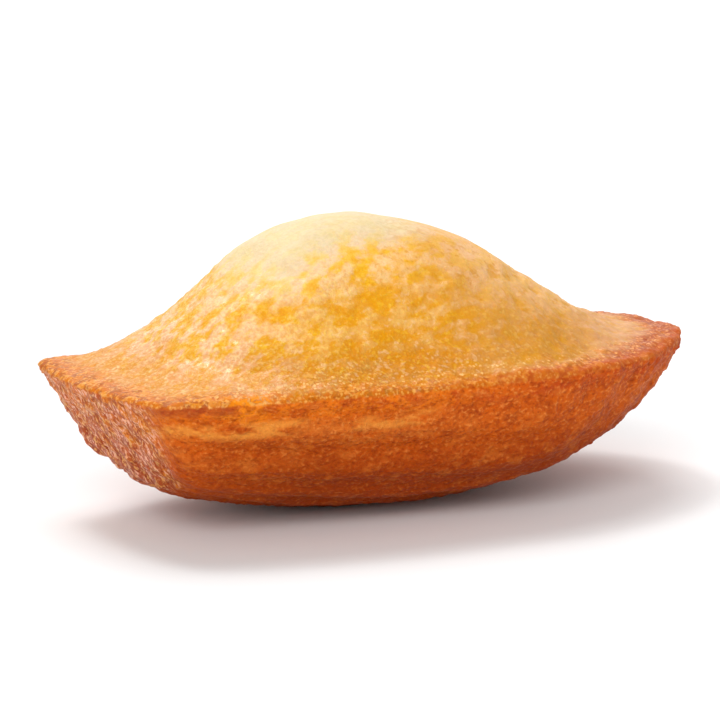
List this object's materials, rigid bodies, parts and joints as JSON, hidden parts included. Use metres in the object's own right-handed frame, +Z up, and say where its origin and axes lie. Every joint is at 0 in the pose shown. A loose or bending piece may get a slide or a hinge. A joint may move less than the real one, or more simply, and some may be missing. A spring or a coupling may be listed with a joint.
{
  "type": "madeleine cake",
  "caption": "Small sponge cake baked in a scallop-shell mould: long ribbed underside, narrow blunt hinge end, wide fan end and a tall rounded dome on top.",
  "frame": {"origin": "under the middle of the cake's box, on the level it rests on", "axes": "+X along the cake from the narrow hinge end to the tip of the fan, +Y across it, +Z up through the dome"},
  "size_m": [0.0776, 0.0438, 0.0327],
  "materials": {
    "baked_crust": "baked sponge: pale golden fine crumb on the dome, browned buttery crust on the moulded underside"
  },
  "bodies": {
    "root": {"madeleine": "baked_crust"}
  },
  "joints": []
}
